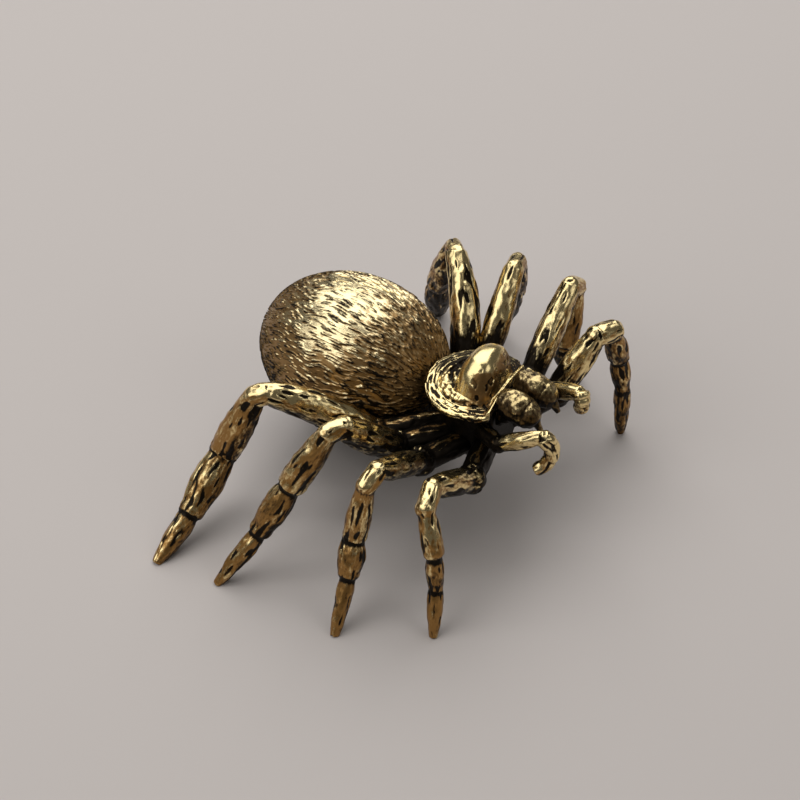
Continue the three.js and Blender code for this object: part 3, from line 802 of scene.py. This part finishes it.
def in_shield_room(points):
    """Whether each point lies where the shield's brim needs room."""
    local = to_shield(points)
    x = local[:, 0] * SHIELD_HALF_WIDTH / (SHIELD_HALF_WIDTH + SEAT_GAP)
    y = local[:, 1] * SHIELD_HALF_LENGTH / (SHIELD_HALF_LENGTH + SEAT_GAP)
    level = (local[:, 2] > -SEAT_GAP) & (local[:, 2] < SHIELD_RISE + SEAT_GAP)
    return level & (brim_share(x, y) < 1)


def in_thigh_room(points):
    """Whether each point lies where a hind leg's hip or thigh needs room."""
    inside = np.zeros(len(points), bool)
    for plan in hind_plans:
        root, hip, knee = plan["joints"][:3]
        spans = [
            (root, hip, COXA_RADIUS, np.zeros(3)),
            (hip, hip + [0, 0, 0.01], TROCHANTER_RADIUS, np.zeros(3)),
            (hip, knee, plan["radii"][0], plan["bow"]),
        ]
        for start, end, radius, bow in spans:
            way = end - start
            share = np.clip((points - start) @ way / (way @ way), 0, 1)
            middles = start + np.outer(share, way) + np.outer(4 * share * (1 - share), bow)
            inside |= np.linalg.norm(points - middles, axis=1) < radius + SEAT_GAP
    return inside


# The skin is filed in towards the egg's middle until it is clear of both rooms.
skin = points_of(abdomen)
kept = np.ones(len(skin))
for share in np.linspace(1, 0.6, 81):
    trial = egg_middle + kept[:, None] * (skin - egg_middle)
    kept = np.where(in_shield_room(trial) | in_thigh_room(trial), share, kept)
skin = egg_middle + kept[:, None] * (skin - egg_middle)

off_axis = skin - egg_middle
around = np.arctan2(off_axis[:, 0], off_axis[:, 2])
girth = 0.5 * ABDOMEN_DIAMETER / 2 + 0.5 * np.hypot(off_axis[:, 0], off_axis[:, 2])
length_share = off_axis[:, 1] / (ABDOMEN_LENGTH / 2)
height_share = off_axis[:, 2] / (ABDOMEN_DIAMETER / 2)
along = np.arcsin(np.clip(length_share, -1, 1)) * ABDOMEN_LENGTH / 2
sway = 0.05 * clouds(skin / 2.0, 11)


def strokes(seed, width, length):
    """Random values in strokes that run along the egg and sway a little."""
    turn = around + sway
    places = np.stack([girth * np.sin(turn) / width, girth * np.cos(turn) / width, along / length], axis=1)
    return clouds(places, seed)


low_front = smooth_step(0.25, -0.45, length_share + 0.55 * height_share)
fine = smooth_step(0.11, 0.28, strokes(12, **FINE_STROKE))
coarse = smooth_step(-0.05, 0.15, strokes(13, **COARSE_STROKE))
front_end = smooth_step(-0.5, -0.85, length_share)
cut = (fine * (1 - low_front) + coarse * low_front) * (1 - 0.5 * front_end)
depth = STROKE_DEPTH * (1 + 0.5 * low_front)
move_to(abdomen, skin)
skin = skin - (depth * cut - ABDOMEN_UNEVENNESS * clouds(skin / 1.5, 14))[:, None] * normals_of(abdomen)
move_to(abdomen, skin)
ENGRAVED_GOLD = (0.88, 0.73, 0.42)
ENGRAVED_BROWN = (0.32, 0.19, 0.07)
engraved_brass = antique_brass(
    "engraved_brass", ENGRAVED_GOLD, ENGRAVED_BROWN, BLACK,
    dullness=0.22, under_shade_strength=0.35, engraving=0.3,
)
egg_grain = np.stack([girth * around, girth, along], axis=1)
# Patina fills the strokes, and painted shade darkens the underside.
egg_patina_and_shade = (0.58 + 0.22 * low_front) * cut + 0.45 * smooth_step(0.35, -0.5, height_share)
# A painted highlight patch on the top; painted shade browns the lower sides.
painted_highlight_patch = smooth_step(0.6, 0.05, np.hypot(length_share - 0.05, off_axis[:, 0] / ABDOMEN_DIAMETER + 0.1))
egg_tarnish_and_painted_light = 0.56 + 0.15 * smooth_step(0.75, 0.1, height_share) + 0.1 * front_end - 0.4 * painted_highlight_patch
set_finish(abdomen, engraved_brass, egg_grain, egg_patina_and_shade, egg_tarnish_and_painted_light)
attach(abdomen, "root")
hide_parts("abdomen")

# Jaws: two bulbs side by side under the brow, each with a root, a ring round its cap and a short hooked fang.
# They are cast with a dark olive patina and brazed to the flat face; only their bulges are worn bright,
# and painted shade darkens their sides and undersides.
JAW_LENGTH = 4.1
JAW_RADIUS = 1.35
JAW_TALLNESS = 1.2
JAW_SPREAD = 1.5
JAW_RISE = 1.5
JAW_DROOP = 10
JAW_CLEARANCE = 0.3
JAW_ROOT_RADIUS = 0.9
JAW_ROOT_DROP = 1.1
JAW_ROOT_REACH = 0.4
FANG_LENGTH = 1.2
FANG_RADIUS = 0.45
FANG_DROOP = 75
CAP_RING = 0.68
CAP_RING_DEPTH = 0.07
CAP_RING_WIDTH = 0.03
JAW_ROUNDNESS = 2.2
JAW_UNEVENNESS = 0.14


def jaw_ends(side):
    """Where the bulb leaves the face, and where its cap ends."""
    base = np.array([side * JAW_SPREAD, FACE_Y - JAW_CLEARANCE, SEAT_HEIGHT + JAW_RISE])
    return base, base + JAW_LENGTH * heading(side, 90, -JAW_DROOP)


def jaw_bulb(side, grown):
    """The bulb with the ring round its cap, taller than wide."""
    base, tip = jaw_ends(side)
    share = np.linspace(-0.1, 1.02, 48)
    swell = np.clip(1 - np.abs((share - 0.45) / 0.57) ** JAW_ROUNDNESS, 0, 1) ** (1 / JAW_ROUNDNESS)
    swell = swell - CAP_RING_DEPTH * np.exp(-((share - CAP_RING) / CAP_RING_WIDTH) ** 2)
    radii = (JAW_RADIUS + grown) * np.maximum(swell, 0.05)
    radii[[0, -1]] = 0
    points, faces = turned(radii, JAW_LENGTH * share, base, tip, 48)
    over = np.cross(unit(tip - base), [side, 0, 0])
    return points + np.outer((JAW_TALLNESS - 1) * ((points - base) @ over), over), faces


for side_name, side in SIDES.items():
    base, tip = jaw_ends(side)
    root_start = base + [0, JAW_CLEARANCE, -JAW_RISE - JAW_ROOT_DROP]
    root_end = base + JAW_ROOT_REACH * (tip - base)
    fang_start = tip - FANG_RADIUS * heading(side, 90, 0)
    fang_tip = tip + FANG_LENGTH * heading(side, 90, -FANG_DROOP)
    forms = [
        jaw_bulb(side, 0),
        segment(root_start, root_end, JAW_ROOT_RADIUS, COXA_SHAPE),
        segment(fang_start, fang_tip, FANG_RADIUS, TARSUS_SHAPE),
    ]
    jaw = cast(f"{side_name}_jaw_bulb", forms, fineness=0.07)
    cheek = points_of(jaw)
    dents = clouds(cheek / 0.9, 21 + side) + 0.4 * clouds(cheek / 0.4, 23 + side)
    cheek += JAW_UNEVENNESS * dents[:, None] * normals_of(jaw)
    cheek[:, 0] = side * np.maximum(side * cheek[:, 0], SEAT_GAP / 2)
    cheek[:, 1] = np.minimum(cheek[:, 1], FACE_Y - SEAT_GAP)
    move_to(jaw, cheek)
    hollow = hollows(jaw, 14)
    set_finish(jaw, dark_brass, cheek, 0.4 + 10 * hollow, 0.45 + 6 * hollow)
    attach(jaw, "root")
    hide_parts(f"{side_name}_jaw")

# Palps: two short feelers beside the jaws, cast like the legs and pegged into the thorax.
# Each has a knobbed root, a straight stretch and a curl of rings that hangs in front of the face.
# The left one was cast or broken short.
PALP_ROOT = dict(out=2.0, ahead=-2.1, drop=2.6)
PALP_KNOB = dict(out=4.3, ahead=1.9, drop=1.2)
PALP_SWEEP = 102
PALP_RISE = 30
PALP_LENGTH = 4.6
PALP_RADIUS = 0.85
PALP_CURL_SWEEP = 129
PALP_CURL_START = -45
PALP_CURL_END = -145
PALP_CURL_LENGTH = {"left": 2.3, "right": 5.0}
PALP_RINGS = 5
PALP_TIP_RADIUS = 0.65
PALP_RING_SHAPE = (0.92, 0.5, 0.94, 0.0)
# From the root to the tip, like the legs: how brown and black each stretch and its ring are.
PALP_TARNISH = (0.4, 0.1, 0.1, 0.15, 0.2, 0.25, 0.3)
PALP_RING_DARKNESS = (0.0, 0.4, 0.2, 0.2, 0.2, 0.2, 0.2)
PALP_BLACK = (0.0, 0.0, -0.1, -0.1, -0.1, -0.1, -0.1)
# How far from the thorax's axis the painted shade near the body reaches on the palps.
PALP_BODY_SHADE_REACH = 9.2


def palp_place(side, out, ahead, drop):
    """A place by its way out from the middle, ahead of the face and below the seat."""
    return np.array([side * out, FACE_Y - ahead, SEAT_HEIGHT - drop])


for side_name, side in SIDES.items():
    root, knob = palp_place(side, **PALP_ROOT), palp_place(side, **PALP_KNOB)
    joints = [root, knob, knob + PALP_LENGTH * heading(side, PALP_SWEEP, PALP_RISE)]
    forms = [
        segment(root, knob, PALP_RADIUS, COXA_SHAPE),
        ball(knob, PALP_RADIUS),
        segment(knob, joints[-1], PALP_RADIUS, FEMUR_SHAPE, 0.5, FACET_SHARE),
    ]
    ring_length = PALP_CURL_LENGTH[side_name] / PALP_RINGS
    for share in np.linspace(0, 1, PALP_RINGS):
        slope = PALP_CURL_START + share * (PALP_CURL_END - PALP_CURL_START)
        radius = PALP_RADIUS + share * (PALP_TIP_RADIUS - PALP_RADIUS)
        ring_end = joints[-1] + ring_length * heading(side, PALP_CURL_SWEEP, slope)
        forms.append(segment(joints[-1], ring_end, radius, PALP_RING_SHAPE))
        joints.append(ring_end)
    rooms = [thorax_form(SEAT_GAP), jaw_bulb(side, SEAT_GAP)]
    palp = cast(f"{side_name}_feeler", forms, fineness=0.07, rooms=rooms)
    seed = 9 + (side > 0)
    weather(palp, joints, leg_brass, PALP_TARNISH, PALP_BLACK, PALP_RING_DARKNESS, PALP_BODY_SHADE_REACH, seed)
    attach(palp, "root")
    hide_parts(f"{side_name}_palp")

# Floor: a plain pale sheet that the eight feet stand on and that takes the shadow.
# It is matt, so the undersides of the brass show only soft light from it.
FLOOR_COLOUR = (0.62, 0.57, 0.54, 1)
FLOOR_HALF = 0.6
floor_mesh = bpy.data.meshes.new("floor")
floor_corners = [(FLOOR_HALF * x, FLOOR_HALF * y, 0) for x, y in [(-1, -1), (1, -1), (1, 1), (-1, 1)]]
floor_mesh.from_pydata(floor_corners, [], [(0, 1, 2, 3)])
floor = bpy.data.objects.new("floor", floor_mesh)
bpy.context.scene.collection.objects.link(floor)
floor_finish = Finish("pale_floor")
floor_finish.fill(floor_finish.surface, {"Base Color": FLOOR_COLOUR, "Roughness": 0.9})
floor.data.materials.append(floor_finish.material)

# Light, as the photograph sees it: a large soft window behind and above, a smaller one at the left
# and a weak fill at the right. The room adds an even, dim grey.
LAMPS = {
    "window": dict(way=(0.45, 0.32, 0.83), distance=0.42, size=0.5, watts=1.5),
    "left_window": dict(way=(-0.57, 0.4, 0.72), distance=0.42, size=0.36, watts=0.6),
    "fill": dict(way=(0.1, -0.75, 0.65), distance=0.45, size=0.2, watts=0.12),
}
ROOM_COLOUR = (0.1, 0.097, 0.092, 1)
aim = Vector((0, 0, 0.008))
for name, window in LAMPS.items():
    way = Vector(window["way"]).normalized()
    lamp = bpy.data.lights.new(name, "AREA")
    lamp.size = window["size"]
    lamp.energy = window["watts"]
    holder = bpy.data.objects.new(name, lamp)
    holder.location = aim + way * window["distance"]
    holder.rotation_euler = (-way).to_track_quat("-Z", "Y").to_euler()
    bpy.context.scene.collection.objects.link(holder)
world = bpy.data.worlds.new("room")
world.use_nodes = True
world.node_tree.nodes["Background"].inputs["Color"].default_value = ROOM_COLOUR
bpy.context.scene.world = world
bpy.context.scene.view_settings.view_transform = "Standard"

# Camera: the photograph's view, from the front right and above.
# It aims at the floor under the abdomen's left side, which puts the figurine where the photograph has it.
VIEW_AZIMUTH = np.radians(-56.4)
VIEW_ELEVATION = np.radians(43.8)
VIEW_DISTANCE = 0.2095
VIEW_LENS = 94.275
VIEW_TARGET = np.array([5.39, 11.94, 0]) * MM + thorax_axis
back = Vector((
    np.sin(VIEW_AZIMUTH) * np.cos(VIEW_ELEVATION),
    -np.cos(VIEW_AZIMUTH) * np.cos(VIEW_ELEVATION),
    np.sin(VIEW_ELEVATION),
))
camera = bpy.data.objects.new("camera", bpy.data.cameras.new("camera"))
camera.data.lens = VIEW_LENS
camera.data.clip_start = 0.01
camera.location = Vector(VIEW_TARGET) + VIEW_DISTANCE * back
camera.rotation_euler = (-back).to_track_quat("-Z", "Y").to_euler()
bpy.context.scene.collection.objects.link(camera)
bpy.context.scene.camera = camera

bpy.context.view_layer.update()
